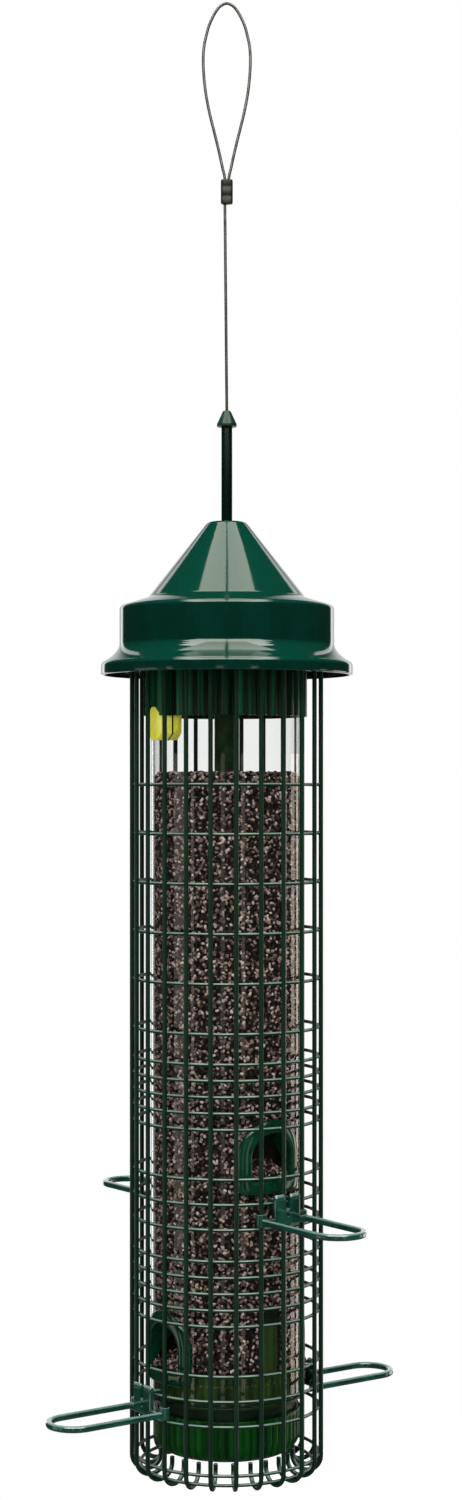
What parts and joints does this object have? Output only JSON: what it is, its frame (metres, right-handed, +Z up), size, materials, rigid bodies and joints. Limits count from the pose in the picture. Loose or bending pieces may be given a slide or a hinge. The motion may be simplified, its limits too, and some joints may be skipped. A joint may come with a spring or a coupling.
{
  "type": "squirrel proof bird feeder",
  "caption": "Hanging tube feeder whose sprung wire shroud drops under a squirrel's weight and closes the seed ports, with a lift-up roof",
  "frame": {"origin": "inner crown of the hanging loop, where a hook carries the feeder, on the tube's axis", "axes": "+Z up along the rod and the tube's axis; the upper ports face -Y and +Y, the lower ports -X and +X"},
  "size_m": [0.207, 0.207, 0.7332],
  "materials": {
    "cable_steel": "stranded steel wire rope, matt",
    "crimp_metal": "blackened crimped sleeve and fasteners",
    "green_moulding": "dark green moulded plastic, soft sheen",
    "roof_gloss": "dark green moulded plastic, high gloss",
    "wire_coating": "dark green powder coat on steel wire",
    "perch_green": "dark green moulded plastic, glossy",
    "clear_tube": "clear polycarbonate",
    "seed": "loose sunflower and small mixed seed, unpolished husk",
    "yellow_catch": "bright yellow moulded plastic",
    "spring_steel": "bare spring wire"
  },
  "bodies": {
    "tube_assembly": {"hanging_cable": "cable_steel", "cable_ferrule": "crimp_metal", "cable_stop": "crimp_metal", "finial_cap": "green_moulding", "hanger_rod": "wire_coating", "rod_clip": "crimp_metal", "rod_nut": "crimp_metal", "spring_seat": "green_moulding", "closing_spring": "spring_steel", "central_post": "green_moulding", "tube_collar": "green_moulding", "seed_tube": "clear_tube", "seed_fill": "seed", "port_frame_upper_front": "green_moulding", "port_frame_upper_rear": "green_moulding", "port_frame_lower_left": "green_moulding", "port_frame_lower_right": "green_moulding", "base_plug": "green_moulding", "base_cup": "green_moulding", "base_screw": "crimp_metal"},
    "shroud": {"wire_shroud": "wire_coating", "shroud_carrier": "green_moulding", "spring_plunger": "green_moulding", "perch_upper_front": "perch_green", "perch_upper_rear": "perch_green", "perch_lower_left": "perch_green", "perch_lower_right": "perch_green"},
    "roof": {"roof": "roof_gloss"},
    "release_button": {"release_button": "yellow_catch"}
  },
  "joints": [
    {"name": "shroud_drop", "type": "slide", "parent": "tube_assembly", "child": "shroud", "axis": [0, 0, -1], "range_m": [0, 0.024], "stiffness_N_per_m": 110, "springref_m": -0.058, "deforming": ["closing_spring"]},
    {"name": "roof_lift", "type": "slide", "parent": "shroud", "child": "roof", "axis": [0, 0, 1], "range_m": [0, 0.045]},
    {"name": "button_press", "type": "slide", "parent": "tube_assembly", "child": "release_button", "axis": [1, 0, 0], "range_m": [0, 0.004], "stiffness_N_per_m": 400, "springref_m": -0.003}
  ]
}
